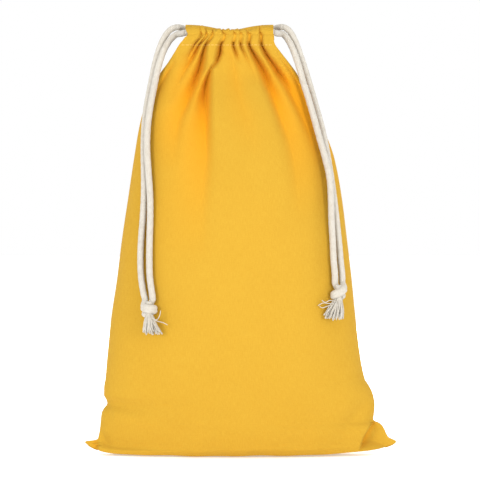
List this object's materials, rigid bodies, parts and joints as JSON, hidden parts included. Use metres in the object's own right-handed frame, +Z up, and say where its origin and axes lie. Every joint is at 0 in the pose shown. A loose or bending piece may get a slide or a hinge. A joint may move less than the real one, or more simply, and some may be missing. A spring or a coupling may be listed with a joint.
{
  "type": "drawstring treat bag",
  "caption": "Plain cotton drawstring bag for pet treats, gathered shut by two cords that run in its hem and end in knotted, frayed tails over the front.",
  "frame": {"origin": "on the ground, under the middle of the bag's box, cord tails left out", "axes": "+Z up, -Y towards the front, where the cord tails hang, +X to the right seen from the front"},
  "size_m": [0.25, 0.1142, 0.3446],
  "materials": {
    "cotton_cloth": "plain woven cotton, amber yellow, matt",
    "cotton_cord": "twisted undyed cotton cord, off-white, matt",
    "sewing_thread": "polyester sewing thread, amber yellow"
  },
  "bodies": {
    "bag_body": {"front_panel": "cotton_cloth", "back_panel": "cotton_cloth", "left_side_seam": "cotton_cloth", "right_side_seam": "cotton_cloth", "bottom_seam": "cotton_cloth", "left_cord_front_exit": "cotton_cord", "left_cord_back_exit": "cotton_cord", "left_cord_far_turn": "cotton_cord", "right_cord_front_exit": "cotton_cord", "right_cord_back_exit": "cotton_cord", "right_cord_far_turn": "cotton_cord"},
    "front_mouth_half": {"front_hem": "cotton_cloth", "front_hem_stitching": "sewing_thread", "left_cord_front_run": "cotton_cord", "right_cord_front_run": "cotton_cord"},
    "back_mouth_half": {"back_hem": "cotton_cloth", "back_hem_stitching": "sewing_thread", "left_cord_back_run": "cotton_cord", "right_cord_back_run": "cotton_cord"},
    "left_cord_loop": {"left_front_strand": "cotton_cord", "left_back_strand": "cotton_cord"},
    "left_cord_end": {"left_knot": "cotton_cord", "left_frayed_end": "cotton_cord"},
    "right_cord_loop": {"right_front_strand": "cotton_cord", "right_back_strand": "cotton_cord"},
    "right_cord_end": {"right_knot": "cotton_cord", "right_frayed_end": "cotton_cord"}
  },
  "joints": [
    {"name": "front_mouth_open", "type": "hinge", "parent": "bag_body", "child": "front_mouth_half", "pos_m": [0, -0.02113, 0.305], "axis": [1, 0, 0], "range_deg": [0, 30], "deforming": ["left_cord_front_exit", "right_cord_front_exit", "left_cord_far_turn", "right_cord_far_turn"]},
    {"name": "back_mouth_open", "type": "hinge", "parent": "bag_body", "child": "back_mouth_half", "pos_m": [0, 0.02113, 0.305], "axis": [-1, 0, 0], "range_deg": [0, 30], "deforming": ["left_cord_back_exit", "right_cord_back_exit"]},
    {"name": "left_loop_swing", "type": "hinge", "parent": "bag_body", "child": "left_cord_loop", "pos_m": [-0.0504, 0, 0.339], "axis": [-1, 0, 0], "range_deg": [0, 90]},
    {"name": "right_loop_swing", "type": "hinge", "parent": "bag_body", "child": "right_cord_loop", "pos_m": [0.0334, 0, 0.339], "axis": [-1, 0, 0], "range_deg": [0, 90]},
    {"name": "left_knot_draw", "type": "slide", "parent": "left_cord_loop", "child": "left_cord_end", "axis": [0, 0, 1], "range_m": [0, 0.0315], "deforming": ["left_front_strand", "left_back_strand"]},
    {"name": "right_knot_draw", "type": "slide", "parent": "right_cord_loop", "child": "right_cord_end", "axis": [0, 0, 1], "range_m": [0, 0.0315], "deforming": ["right_front_strand", "right_back_strand"]}
  ],
  "couplings": [
    {"joint": "back_mouth_open", "follows": "front_mouth_open", "ratio": 1},
    {"joint": "left_knot_draw", "follows": "front_mouth_open", "m_per_rad": 0.06},
    {"joint": "right_knot_draw", "follows": "front_mouth_open", "m_per_rad": 0.06}
  ]
}
